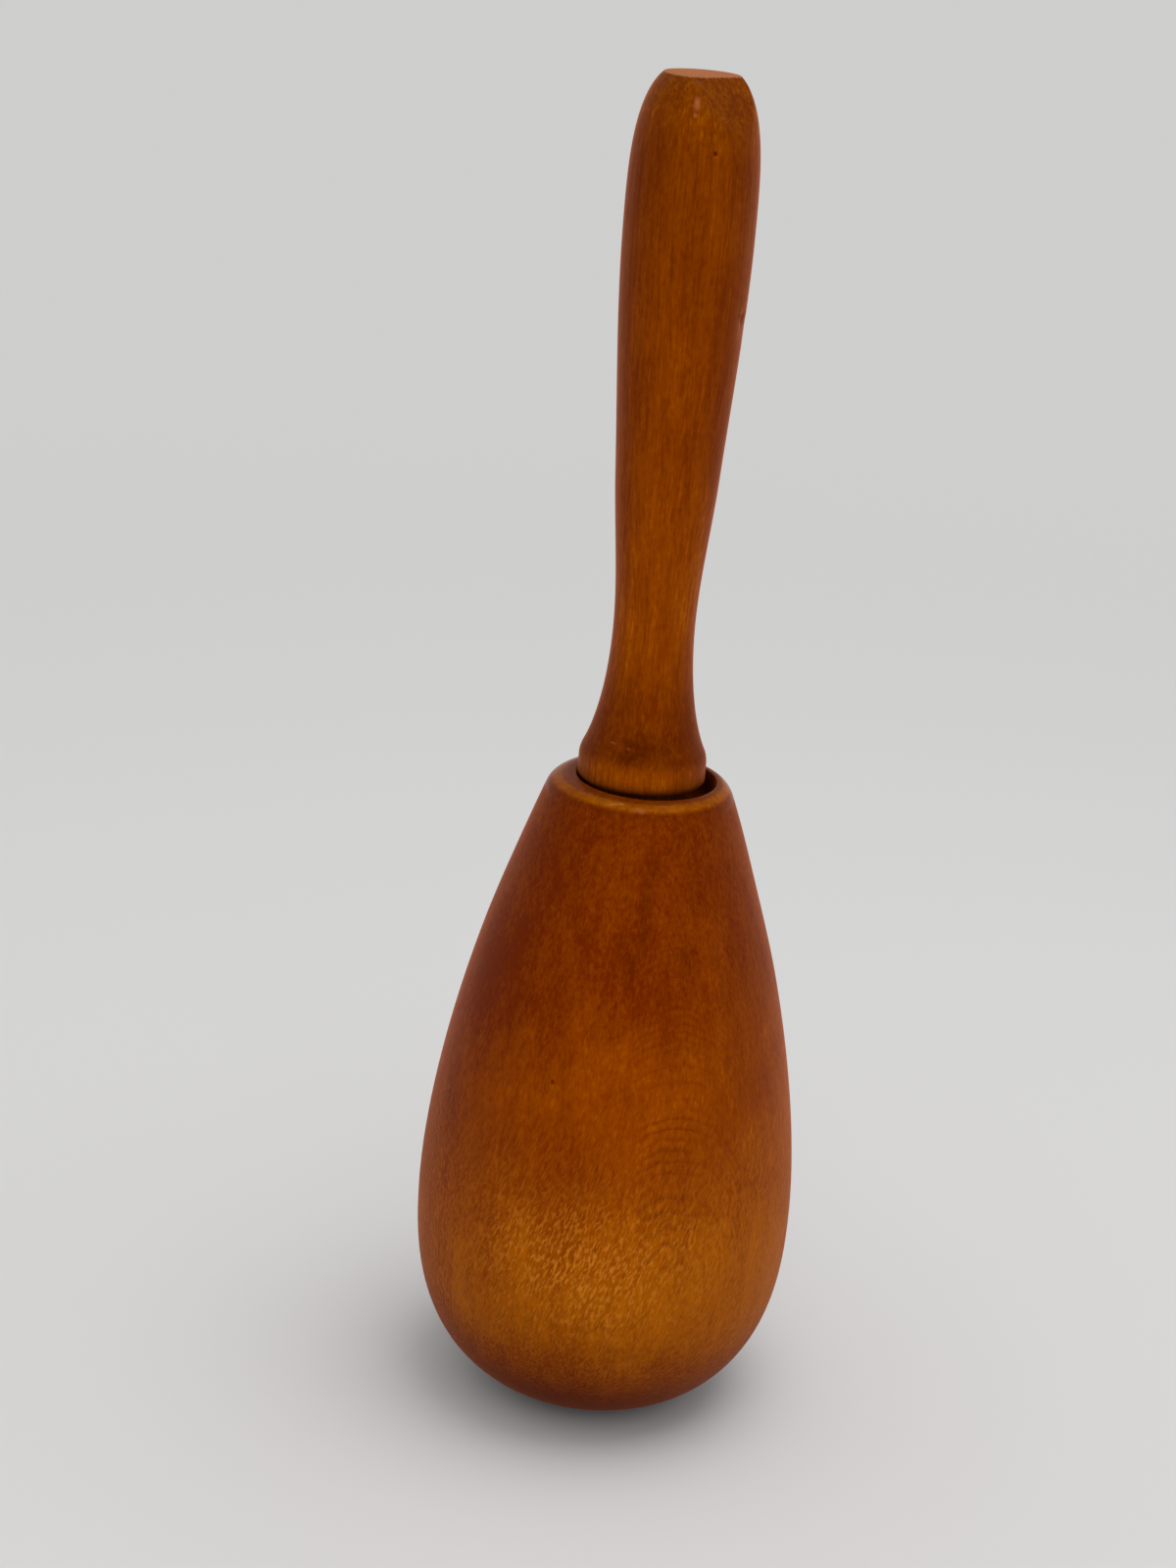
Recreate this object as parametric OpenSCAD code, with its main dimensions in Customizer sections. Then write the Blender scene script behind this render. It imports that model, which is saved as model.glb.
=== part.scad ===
// Darning egg with a drawn-out handle, turned in two pieces of close-grained wood.
// The egg stands on a small flat base, +Z points up its axis, and the origin is the base's centre.

/* [Egg] */
// Diameter of the flat base that the egg stands on
base_d = 15; // [10:0.5:22]
// Diameter at the widest place
belly_d = 47; // [40:0.5:54]
// Height of the widest place above the base
belly_rise = 26; // [20:0.5:34]
// Height from the widest place up to the rim
taper_rise = 55.8; // [45:0.2:66]
// Fullness of the bowl below the widest place, 2 is an ellipse
bowl_fullness = 2.6; // [2:0.1:3.4]
// Fullness of the taper above the widest place, 1 is a cone
taper_fullness = 1.7; // [1.3:0.05:2.2]

/* [Mouth] */
// Diameter of the mouth in the rim
mouth_d = 17; // [15:0.2:20]
// Depth of the mouth, down to the floor that carries the handle
mouth_depth = 3; // [2:0.1:5]
// How far the mouth was bored off the egg's axis
mouth_off = 0.7; // [0:0.1:1]
// Width of the rim, from the mouth to the line of the outer wall
rim_w = 2.15; // [1.5:0.05:4]
// Radius of the rim's rounded outer edge
rim_round = 2.9; // [0.5:0.1:4]

/* [Tenon and socket] */
// Diameter of the handle's tenon
tenon_d = 10; // [7:0.2:11.6]
// Length of the tenon below the shoulder
tenon_l = 20; // [12:0.5:30]
// Gap all round the tenon in its socket
tenon_gap = 0.1; // [0.02:0.02:0.3]
// Empty depth left under the end of the tenon
socket_spare = 3; // [1:0.5:8]
// Bevel on the tenon's end and on the socket's edge
bevel = 0.5; // [0.2:0.1:1]
// Gap all round the handle's shoulder in the mouth
shoulder_gap = 1.5; // [1.2:0.1:2]

/* [Collar] */
// Gap between collar and mouth where they come closest
collar_gap = 0.1; // [0.1:0.1:0.6]
// Height of the collar's underside above the rim
collar_lift = 0.1; // [0:0.05:0.4]
// Radius of the collar's lower edge
collar_round = 0.3; // [0.2:0.05:0.8]
// How far above the collar's upper edge its rounding reaches into the flare
collar_lip = 0.7; // [0.3:0.1:1]

/* [Handle] */
// Diameter of the neck, the slimmest place
neck_d = 9.7; // [8:0.1:11.4]
// Height of the neck above the rim
neck_rise = 19.2; // [18:0.2:25]
// Half height of the oval that the flare below the neck follows
flare_rise = 18; // [16:0.5:19.5]
// Half width of the oval that the flare below the neck follows
flare_reach = 5.25; // [4.5:0.25:9]
// Diameter where the grip has begun to swell
swell_d = 12.2; // [11.5:0.1:14]
// Height from the neck to that place
swell_rise = 18; // [14:0.5:22]
// Diameter of the grip at its fullest
grip_d = 15.1; // [14.1:0.1:17.5]
// Height from the swelling to the fullest place
grip_rise = 29; // [24:0.5:36]
// Height from the fullest place to the flat top
end_rise = 17; // [12:0.5:22]
// Fullness of the rounded end, 2 is an ellipse
end_fullness = 3; // [2:0.1:4]
// Diameter of the flat top
top_d = 8.7; // [6:0.1:11]
// Distance from the handle's axis to the cut flat, along the top
flat_reach = 3; // [2.4:0.1:4]
// Lean of the cut flat away from the axis
flat_lean = 34; // [28:1:44]
// Direction that the cut flat faces, round the axis from +X
flat_facing = -48; // [-90:1:0]

/* [Hidden] */
$fn = 96;
bowl_steps = 26;
taper_steps = 30;
round_steps = 8;
lip_steps = 6;
flare_steps = 26;
swell_steps = 12;
grip_steps = 16;
end_steps = 22;
over = 1; // how far a cutting shape runs past the face that it cuts

// Heights above the base, from the egg up to the top of the handle
rim_z = belly_rise + taper_rise;
floor_z = rim_z - mouth_depth;
tenon_z = floor_z - tenon_l;
socket_z = tenon_z - socket_spare;
neck_z = rim_z + neck_rise;
swell_z = neck_z + swell_rise;
grip_z = swell_z + grip_rise;
top_z = grip_z + end_rise;

// Radii that follow from the sizes above
base_r = base_d / 2;
belly_r = belly_d / 2;
mouth_r = mouth_d / 2;
rim_r = mouth_r + rim_w;
tenon_r = tenon_d / 2;
socket_r = tenon_r + tenon_gap;
shoulder_r = mouth_r - mouth_off - shoulder_gap;
collar_r = mouth_r - mouth_off - collar_gap;
neck_r = neck_d / 2;
swell_r = swell_d / 2;
grip_r = grip_d / 2;
top_r = top_d / 2;

// The outer wall leans in by this much where it meets the rim
wall_lean = atan((belly_r - rim_r) * taper_fullness / taper_rise);
rim_turn = 90 - wall_lean;
rim_fillet = min(rim_round, rim_w / tan(rim_turn / 2));
fillet_x = rim_r - rim_fillet * tan(rim_turn / 2);
fillet_z = rim_z - rim_fillet;
wall_top_z = fillet_z + rim_fillet * sin(wall_lean);

// The flare leaves the neck upright and leans out to the collar
flare_share = 1 - (collar_r - neck_r) / flare_reach;
flare_h = flare_rise * sqrt(1 - pow(flare_share, 2));
collar_z = neck_z - flare_h;
collar_low_z = rim_z + collar_lift;
grip_slope = (grip_r - neck_r) / (swell_rise + grip_rise);

// Points along an arc about [x, z], from one angle to another
function arc(x, z, r, from, to, steps) =
    [for (i = [0 : steps]) let (a = from + (to - from) * i / steps) [x + r * cos(a), z + r * sin(a)]];

// Radius on a rounded-off curve that falls from a wide radius to an end radius as t goes from 0 to 1
function rounded(wide, end, fullness, t) =
    wide * pow(1 - (1 - pow(end / wide, fullness)) * pow(t, fullness), 1 / fullness);

// Radius on a smooth curve between two radii, with the slope per step at each end
function smooth(r0, r1, slope0, slope1, t) =
    r0 * (2 * pow(t, 3) - 3 * pow(t, 2) + 1) + slope0 * (pow(t, 3) - 2 * pow(t, 2) + t)
    + r1 * (3 * pow(t, 2) - 2 * pow(t, 3)) + slope1 * (pow(t, 3) - pow(t, 2));

// Radius of the flare at a height, and how fast it falls with height there
function flare_radius(z) =
    neck_r + flare_reach * (1 - sqrt(1 - pow((neck_z - z) / flare_rise, 2)));
function flare_fall(z) =
    flare_reach * (neck_z - z) / pow(flare_rise, 2) / sqrt(1 - pow((neck_z - z) / flare_rise, 2));

// Points on a curve that leaves one point and reaches another along the lines through a corner
function eased_corner(from, corner, to, steps) =
    [for (i = [0 : steps]) let (t = i / steps)
        from * pow(1 - t, 2) + corner * 2 * t * (1 - t) + to * pow(t, 2)];

bowl_line = [for (i = [0 : bowl_steps]) let (t = cos(90 * i / bowl_steps))
    [rounded(belly_r, base_r, bowl_fullness, t), belly_rise * (1 - t)]];

taper_line = [for (i = [1 : taper_steps]) let (z = belly_rise + (wall_top_z - belly_rise) * i / taper_steps)
    [belly_r - (belly_r - rim_r) * pow((z - belly_rise) / taper_rise, taper_fullness), z]];

rim_line = [for (p = arc(fillet_x, fillet_z, rim_fillet, wall_lean, 90, round_steps)) if (p[1] > wall_top_z + 0.01) p];

flare_line = [for (i = [1 : flare_steps]) let (z = neck_z - flare_h * cos(90 * i / flare_steps)) [flare_radius(z), z]];

swell_line = [for (i = [1 : swell_steps]) let (t = i / swell_steps)
    [smooth(neck_r, swell_r, 0, grip_slope * swell_rise, t), neck_z + swell_rise * t]];

grip_line = [for (i = [1 : grip_steps]) let (t = i / grip_steps)
    [smooth(swell_r, grip_r, grip_slope * grip_rise, 0, t), swell_z + grip_rise * t]];

end_line = [for (i = [1 : end_steps]) let (t = sin(90 * i / end_steps))
    [rounded(grip_r, top_r, end_fullness, t), grip_z + end_rise * t]];

// The collar's upper edge is rounded between its upright wall and the flare
lip_end = [flare_radius(collar_z + collar_lip), collar_z + collar_lip];
lip_corner = [collar_r, lip_end[1] - (collar_r - lip_end[0]) / flare_fall(lip_end[1])];
lip_start = [collar_r, max(lip_corner[1] - norm(lip_corner - lip_end), collar_low_z + collar_round + 0.1)];
collar_lip_line = eased_corner(lip_start, lip_corner, lip_end, lip_steps);

module egg_outline() {
    polygon(concat([[0, 0]], bowl_line, taper_line, rim_line, [[0, rim_z]]));
}

module handle_outline() {
    polygon(concat(
        [[0, tenon_z], [tenon_r - bevel, tenon_z], [tenon_r, tenon_z + bevel]],
        [[tenon_r, floor_z], [shoulder_r, floor_z], [shoulder_r, collar_low_z]],
        arc(collar_r - collar_round, collar_low_z + collar_round, collar_round, -90, 0, round_steps),
        collar_lip_line,
        [for (p = flare_line) if (p[1] > lip_end[1] + 0.05) p],
        swell_line, grip_line, end_line, [[0, top_z]]));
}

module mouth_bore() {
    translate([mouth_off, 0, floor_z]) cylinder(r = mouth_r, h = mouth_depth + over);
}

module socket_bore() {
    translate([0, 0, socket_z]) cylinder(r = socket_r, h = floor_z - socket_z + over);
    translate([0, 0, floor_z - bevel]) cylinder(r1 = socket_r, r2 = socket_r + bevel, h = bevel);
}

// A block whose near face is the flat that was cut on one side of the handle's top
module top_flat() {
    rotate([0, 0, flat_facing])
        translate([flat_reach, 0, top_z])
            rotate([0, -flat_lean, 0])
                translate([0, -grip_d / 2, -end_rise])
                    cube([grip_d, grip_d, 2 * end_rise]);
}

module egg() {
    color([0.51, 0.22, 0.02])
        difference() {
            rotate_extrude() egg_outline();
            mouth_bore();
            socket_bore();
        }
}

module handle() {
    color([0.48, 0.21, 0.02])
        difference() {
            rotate_extrude() handle_outline();
            top_flat();
        }
}

egg();
handle();
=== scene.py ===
import math

import bmesh
import bpy
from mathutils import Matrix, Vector


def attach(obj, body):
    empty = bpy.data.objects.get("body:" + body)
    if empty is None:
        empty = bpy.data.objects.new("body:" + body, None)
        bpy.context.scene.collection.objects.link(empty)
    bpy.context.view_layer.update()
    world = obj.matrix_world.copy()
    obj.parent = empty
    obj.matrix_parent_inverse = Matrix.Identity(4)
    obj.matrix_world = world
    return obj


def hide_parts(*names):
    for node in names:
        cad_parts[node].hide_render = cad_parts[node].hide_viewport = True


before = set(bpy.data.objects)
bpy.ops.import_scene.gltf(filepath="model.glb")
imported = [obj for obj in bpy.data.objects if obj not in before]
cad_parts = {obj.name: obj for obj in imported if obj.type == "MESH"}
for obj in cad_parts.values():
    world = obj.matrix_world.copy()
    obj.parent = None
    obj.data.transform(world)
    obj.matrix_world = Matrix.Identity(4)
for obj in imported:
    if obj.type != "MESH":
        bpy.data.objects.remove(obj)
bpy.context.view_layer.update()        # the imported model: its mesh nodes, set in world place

mm = 0.001
pointSlack = 0.001       # millimetres, closer points count as at the same height
smoothAngle = 32         # degrees, edges sharper than this stay sharp
print("frame loaded:", ", ".join(sorted(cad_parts)))


cameraSpot = {
    "place": (0.0, -0.34285, 0.20119),
    "yaw": -1.049,           # degrees, turned towards -X
    "pitch": 19.445,         # looking down
    "roll": 4.702,           # the picture leans to the right
    "pictureHeight": 1600,
    "lensPixels": 3069.2,    # focal length in pixels of a picture of that height
    "sensor": 36, "clip": (0.02, 20),
}


def placeCamera(spot):
    yaw, pitch, roll = (math.radians(spot[k]) for k in ("yaw", "pitch", "roll"))
    ahead = Vector((math.sin(yaw) * math.cos(pitch), math.cos(yaw) * math.cos(pitch), -math.sin(pitch)))
    level = Vector((math.cos(yaw), -math.sin(yaw), 0))
    above = level.cross(ahead)
    right = math.cos(roll) * level + math.sin(roll) * above
    up = -math.sin(roll) * level + math.cos(roll) * above
    bpy.ops.object.camera_add(location=spot["place"])
    camera = bpy.context.object
    camera.name = "viewCamera"
    camera.rotation_mode = "QUATERNION"
    turn = camera.matrix_world.to_3x3()
    for row in range(3):
        turn[row][0], turn[row][1], turn[row][2] = right[row], up[row], -ahead[row]
    camera.rotation_quaternion = turn.to_quaternion()
    camera.data.sensor_width = spot["sensor"]
    camera.data.lens = spot["lensPixels"] * spot["sensor"] / spot["pictureHeight"]
    camera.data.clip_start, camera.data.clip_end = spot["clip"]
    bpy.context.scene.camera = camera


placeCamera(cameraSpot)
print("camera placed")


def nothingSelected():
    if bpy.context.mode != "OBJECT":
        bpy.ops.object.mode_set(mode="OBJECT")
    bpy.ops.object.select_all(action="DESELECT")


def startOutline(name, x, z):
    # one point in edit mode, made from a small plane merged to its middle
    nothingSelected()
    bpy.ops.mesh.primitive_plane_add(size=mm, location=(0, 0, 0))
    piece = bpy.context.object
    piece.name = name
    piece.data.name = name
    bpy.ops.object.mode_set(mode="EDIT")
    bpy.ops.mesh.select_mode(type="VERT")
    bpy.ops.mesh.select_all(action="SELECT")
    bpy.ops.mesh.merge(type="CENTER")
    bpy.ops.transform.translate(value=(x * mm, 0, z * mm))
    return piece


def turnOutline(name, outline, steps):
    # the half outline is drawn point by point and spun round the axis
    piece = startOutline(name, *outline[0])
    for (x0, z0), (x1, z1) in zip(outline, outline[1:]):
        bpy.ops.mesh.extrude_vertices_move(
            TRANSFORM_OT_translate={"value": ((x1 - x0) * mm, 0, (z1 - z0) * mm)})
    bpy.ops.mesh.select_all(action="SELECT")
    bpy.ops.mesh.spin(steps=steps, angle=math.tau, center=(0, 0, 0), axis=(0, 0, 1))
    bpy.ops.mesh.select_all(action="SELECT")
    bpy.ops.mesh.remove_doubles(threshold=pointSlack * mm)
    bpy.ops.mesh.normals_make_consistent(inside=False)
    bpy.ops.mesh.select_all(action="DESELECT")
    return piece


def selectWhere(piece, test):
    # in edit mode: selects the points for which test says yes, in millimetres
    mesh = bmesh.from_edit_mesh(piece.data)
    count = 0
    for v in mesh.verts:
        hit = bool(test(*(c / mm for c in v.co)))
        v.select_set(hit)
        count += hit
    mesh.select_flush_mode()
    bmesh.update_edit_mesh(piece.data)
    return count


def pressIn(piece, spot, push, reach):
    # the point nearest the spot is moved, and its neighbours follow within reach
    mesh = bmesh.from_edit_mesh(piece.data)
    target = Vector(spot) * mm
    nearest = min(mesh.verts, key=lambda v: (v.co - target).length_squared)
    bpy.ops.mesh.select_all(action="DESELECT")
    nearest.select_set(True)
    mesh.select_flush_mode()
    bmesh.update_edit_mesh(piece.data)
    bpy.ops.transform.translate(
        value=tuple(c * mm for c in push), use_proportional_edit=True, use_proportional_connected=True,
        proportional_edit_falloff="SMOOTH", proportional_size=reach * mm)


def finishPiece(piece, angle):
    bpy.ops.object.mode_set(mode="OBJECT")
    nothingSelected()
    piece.select_set(True)
    bpy.context.view_layer.objects.active = piece
    bpy.ops.object.shade_smooth_by_angle(angle=math.radians(angle))
    piece.select_set(False)
    return piece


def arcPoints(x, z, radius, start, end, steps):
    turns = [math.radians(start + (end - start) * i / steps) for i in range(steps + 1)]
    return [(x + radius * math.cos(a), z + radius * math.sin(a)) for a in turns]


def roundedOff(wide, end, fullness, t):
    # a radius that falls from wide to end as t goes from 0 to 1
    return wide * (1 - (1 - (end / wide) ** fullness) * t ** fullness) ** (1 / fullness)


def easedBetween(r0, r1, slope0, slope1, t):
    return (r0 * (2 * t ** 3 - 3 * t ** 2 + 1) + slope0 * (t ** 3 - 2 * t ** 2 + t)
            + r1 * (3 * t ** 2 - 2 * t ** 3) + slope1 * (t ** 3 - t ** 2))


eggShape = {
    "baseR": 7.5, "bellyR": 23.5, "bellyZ": 26, "taperRise": 55.8,
    "bowlFullness": 2.6, "taperFullness": 1.7,
    "footRound": 0.35, "footEdge": (0.1, 0.05), "footSkip": 5,   # softened edge of the flat base
    "mouthR": 8.5, "mouthDepth": 3, "mouthOff": 0.7, "rimW": 2.15, "rimRound": 2.9,
    "rimStart": 4,                           # degrees up the rounding, where its first ring lies
    "mouthSoft": 0.14, "mouthCorner": 0.3,   # worn edge of the mouth, and the corner of its floor
    "socketR": 5.1, "socketDepth": 23, "bevel": 0.5,
    "fixedFloor": 1.5,                       # floor round the socket that the mouth's shift leaves
    "shiftFade": 1.5,                        # how fast that shift fades out across the rim's rounding
    # points along each part of the outline, and rings on the flat faces
    "bowlSteps": 56, "taperSteps": 72, "rimSteps": 16, "softSteps": 4, "cornerSteps": 3, "socketSteps": 10,
    "baseRings": (0, 1.5, 3, 4.5, 6), "wallRings": (1, 2), "floorRings": (7.2, 6.4),
    "bottomRings": (3.4, 1.7, 0),
    "turnSteps": 192,
    # small unevenness left by hand turning: spot, push, reach
    "uneven": [
        ((15.6, -1.6, 68), (-0.16, 0, 0), 12),
        ((-14.6, -3.0, 72), (0.12, 0, 0), 11),
    ],
}


def eggOutline(s):
    rimZ = s["bellyZ"] + s["taperRise"]
    floorZ = rimZ - s["mouthDepth"]
    rimR = s["mouthR"] + s["rimW"]
    lean = math.atan((s["bellyR"] - rimR) * s["taperFullness"] / s["taperRise"])
    half = math.tan((math.pi / 2 - lean) / 2)
    fillet = min(s["rimRound"], s["rimW"] / half)
    filletX, filletZ = rimR - fillet * half, rimZ - fillet
    wallTopZ = filletZ + fillet * math.sin(lean)

    def bowl(t):
        return (roundedOff(s["bellyR"], s["baseR"], s["bowlFullness"], t), s["bellyZ"] * (1 - t))

    outline = [(r, 0) for r in (*s["baseRings"], s["baseR"] - s["footRound"])]
    edgeIn, edgeZ = s["footEdge"]
    outline.append((s["baseR"] - edgeIn, edgeZ))
    outline += [bowl(math.cos(math.pi / 2 * i / s["bowlSteps"]))
                for i in range(s["footSkip"], s["bowlSteps"] + 1)]
    for i in range(1, s["taperSteps"] + 1):
        z = s["bellyZ"] + (wallTopZ - s["bellyZ"]) * i / s["taperSteps"]
        outline.append((s["bellyR"] - (s["bellyR"] - rimR) * ((z - s["bellyZ"]) / s["taperRise"])
                        ** s["taperFullness"], z))
    rimArc = arcPoints(filletX, filletZ, fillet, math.degrees(lean) + s["rimStart"], 90, s["rimSteps"])
    outline += rimArc
    soft, corner = s["mouthSoft"], s["mouthCorner"]
    outline += arcPoints(s["mouthR"] + soft, rimZ - soft, soft, 90, 180, s["softSteps"])
    outline += [(s["mouthR"], rimZ - down) for down in s["wallRings"]]
    outline.append((s["mouthR"], floorZ + corner))
    outline += arcPoints(s["mouthR"] - corner, floorZ + corner, corner, 0, -90, s["cornerSteps"])
    outline += [(r, floorZ) for r in (*s["floorRings"], s["socketR"] + s["bevel"])]
    outline.append((s["socketR"], floorZ - s["bevel"]))
    bottomZ = floorZ - s["socketDepth"]
    count = s["socketSteps"]
    outline += [(s["socketR"], floorZ + (bottomZ - floorZ) * k / count) for k in range(1, count + 1)]
    outline += [(r, bottomZ) for r in s["bottomRings"]]
    return outline, rimArc, rimZ


def makeEgg(s):
    outline, rimArc, rimZ = eggOutline(s)
    egg = turnOutline("turnedEgg", outline, s["turnSteps"])
    belowFloor = rimZ - s["mouthDepth"] - 0.1
    kept, mouthEdge = s["socketR"] + s["fixedFloor"], s["mouthR"] + s["mouthSoft"]
    inMouth = selectWhere(egg, lambda x, y, z: z > belowFloor and kept < math.hypot(x, y) < mouthEdge + 0.05)
    bpy.ops.transform.translate(value=(s["mouthOff"] * mm, 0, 0))   # the mouth was bored off the axis
    # the rounding beside it follows, less and less towards the outer wall
    # known fault: the last ring has moved already, and four points are caught again and fold over
    outer = rimArc[0][0]
    for ringR, ringZ in rimArc:
        share = (outer - ringR) / (outer - rimArc[-1][0])
        selectWhere(egg, lambda x, y, z: abs(z - ringZ) < pointSlack and math.hypot(x, y) > mouthEdge + 0.02
                    and (ringZ < rimZ - pointSlack or math.hypot(x, y) < ringR + 0.01))
        bpy.ops.transform.translate(value=(s["mouthOff"] * share ** s["shiftFade"] * mm, 0, 0))
    for spot, push, reach in s["uneven"]:
        pressIn(egg, spot, push, reach)
    print("egg turned,", len(egg.data.vertices), "points,", inMouth, "in the mouth")
    return finishPiece(egg, smoothAngle)


handleShape = {
    "rimZ": 81.8, "floorZ": 78.8,
    "tenonR": 5.0, "tenonL": 20, "bevel": 0.5, "shoulderR": 6.3,
    "collarR": 7.7, "collarLift": 0.1, "collarRound": 0.3, "collarLip": 0.7,
    "neckR": 4.85, "neckRise": 19.2, "flareRise": 18, "flareReach": 5.25,
    "swellR": 6.1, "swellRise": 18, "gripR": 7.55, "gripRise": 29,
    "endRise": 17, "endFullness": 3, "topR": 4.35,
    # the cut flat: its place, how far down it is looked for, and the wear on its lower edge
    "flatReach": 3.0, "flatLean": 34, "flatFacing": -48, "flatDepth": 16,
    "flatSharp": 1.2, "wearDepth": 12, "wearBehind": 0.5, "flatWear": 12,
    # points along each part of the outline, and rings on the flat faces
    "tenonRings": (0, 1.5, 3), "tenonSteps": 12, "shoulderRing": 1.5, "cornerSteps": 8, "collarSteps": 4,
    "lipSteps": 12, "flareSteps": 44, "swellSteps": 36, "gripSteps": 58, "endSteps": 44, "topRings": 12,
    "turnSteps": 160,
    # dents from use: spot, push, reach
    "dents": [
        ((7.0, -2.2, 138.4), (-0.3, 0.08, 0), 1.1),
        ((7.1, -1.6, 137.2), (-0.16, 0.03, 0), 2.6),
        ((-0.4, -4.4, 165), (0.02, 0.3, -0.26), 0.75),
        ((-0.3, -5.96, 162.5), (0, 0.12, 0), 0.9),
        ((2.15, -6.88, 157.2), (-0.03, 0.12, 0), 0.5),
    ],
}


def handleOutline(s):
    rimZ, floorZ = s["rimZ"], s["floorZ"]
    tenonZ, neckZ = floorZ - s["tenonL"], rimZ + s["neckRise"]
    swellZ = neckZ + s["swellRise"]
    gripZ = swellZ + s["gripRise"]
    topZ = gripZ + s["endRise"]
    share = 1 - (s["collarR"] - s["neckR"]) / s["flareReach"]
    flareH = s["flareRise"] * math.sqrt(1 - share ** 2)
    lowZ = rimZ + s["collarLift"]

    def flareRadius(z):
        return s["neckR"] + s["flareReach"] * (1 - math.sqrt(1 - ((neckZ - z) / s["flareRise"]) ** 2))

    # the collar's upper edge is rounded between its upright wall and the flare
    lipZ = neckZ - flareH + s["collarLip"]
    lipR = flareRadius(lipZ)
    up = (neckZ - lipZ) / s["flareRise"]
    cornerZ = lipZ - (s["collarR"] - lipR) * s["flareRise"] * math.sqrt(1 - up ** 2) / (s["flareReach"] * up)
    startZ = cornerZ - math.hypot(s["collarR"] - lipR, lipZ - cornerZ)
    slope = (s["gripR"] - s["neckR"]) / (s["swellRise"] + s["gripRise"])

    outline = [(r, tenonZ) for r in (*s["tenonRings"], s["tenonR"] - s["bevel"])]
    outline.append((s["tenonR"], tenonZ + s["bevel"]))
    count = s["tenonSteps"]
    outline += [(s["tenonR"], tenonZ + s["bevel"] + (s["tenonL"] - s["bevel"]) * k / count)
                for k in range(1, count + 1)]
    outline += [(s["shoulderR"], z) for z in (floorZ, floorZ + s["shoulderRing"], lowZ)]
    corner = s["collarRound"]
    outline += arcPoints(s["collarR"] - corner, lowZ + corner, corner, -90, 0, s["cornerSteps"])
    count = s["collarSteps"]
    outline += [(s["collarR"], (outline[-1][1] * (count - k) + startZ * k) / count) for k in range(1, count)]
    for i in range(s["lipSteps"] + 1):
        t = i / s["lipSteps"]
        outline.append((s["collarR"] * (1 - t ** 2) + lipR * t ** 2,
                        startZ * (1 - t) ** 2 + cornerZ * 2 * t * (1 - t) + lipZ * t ** 2))
    for i in range(1, s["flareSteps"] + 1):
        z = neckZ - flareH * math.cos(math.pi / 2 * i / s["flareSteps"])
        if z > lipZ + 0.05:                  # the lip has drawn the flare's lowest part already
            outline.append((flareRadius(z), z))
    for i in range(1, s["swellSteps"] + 1):
        t = i / s["swellSteps"]
        radius = easedBetween(s["neckR"], s["swellR"], 0, slope * s["swellRise"], t)
        outline.append((radius, neckZ + s["swellRise"] * t))
    for i in range(1, s["gripSteps"] + 1):
        t = i / s["gripSteps"]
        radius = easedBetween(s["swellR"], s["gripR"], slope * s["gripRise"], 0, t)
        outline.append((radius, swellZ + s["gripRise"] * t))
    for i in range(1, s["endSteps"] + 1):
        t = math.sin(math.pi / 2 * i / s["endSteps"])
        outline.append((roundedOff(s["gripR"], s["topR"], s["endFullness"], t), gripZ + s["endRise"] * t))
    count = s["topRings"]
    outline += [(s["topR"] * (1 - k / count), topZ) for k in range(1, count + 1)]
    return outline, topZ


def cutFlat(piece, s, topZ):
    # a plane is cut in, and what stands beyond it is scaled flat onto it
    facing, lean = math.radians(s["flatFacing"]), math.radians(s["flatLean"])
    normal = Vector((math.cos(lean) * math.cos(facing), math.cos(lean) * math.sin(facing), math.sin(lean)))
    along = Vector((-math.sin(facing), math.cos(facing), 0))
    point = Vector((s["flatReach"] * math.cos(facing), s["flatReach"] * math.sin(facing), topZ))
    lowest = topZ - s["flatDepth"]

    def ahead(*spot):
        return (Vector(spot) - point).dot(normal)

    selectWhere(piece, lambda x, y, z: z > lowest)
    bpy.ops.mesh.bisect(plane_co=point * mm, plane_no=normal, threshold=pointSlack * mm)
    beyond = selectWhere(piece, lambda x, y, z: z > lowest and ahead(x, y, z) > 2 * pointSlack)
    across = normal.cross(along)
    turn = [tuple(v) for v in (along, across, normal)]
    bpy.ops.transform.resize(value=(1, 1, 0), orient_type="GLOBAL", orient_matrix=turn,
                             orient_matrix_type="GLOBAL", center_override=point * mm)
    # the knife's lower edge is worn soft
    selectWhere(piece, lambda x, y, z: topZ - s["wearDepth"] < z < topZ - s["flatSharp"]
                and -s["wearBehind"] < ahead(x, y, z) < 2 * pointSlack)
    bpy.ops.mesh.vertices_smooth(factor=0.5, repeat=s["flatWear"])
    return beyond


def makeHandle(s):
    outline, topZ = handleOutline(s)
    handle = turnOutline("turnedHandle", outline, s["turnSteps"])
    beyond = cutFlat(handle, s, topZ)
    for spot, push, reach in s["dents"]:
        pressIn(handle, spot, push, reach)
    print("handle turned,", len(handle.data.vertices), "points,", beyond, "cut flat")
    return finishPiece(handle, smoothAngle)


egg = makeEgg(eggShape)
handle = makeHandle(handleShape)
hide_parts("egg")
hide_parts("handle")


def addNode(tree, kind, place, inputs=None, **options):
    # inputs are set by name or number, from a value or from another node's output
    made = tree.nodes.new("ShaderNode" + kind)
    made.location = place
    for name, value in options.items():
        setattr(made, name, value)
    for socket, value in (inputs or {}).items():
        if isinstance(value, bpy.types.NodeSocket):
            tree.links.new(value, made.inputs[socket])
        else:
            made.inputs[socket].default_value = value
    return made


def calc(tree, place, operation, *values):
    # one Math node
    made = addNode(tree, "Math", place, dict(enumerate(values)), operation=operation)
    return made.outputs[0]


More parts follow.
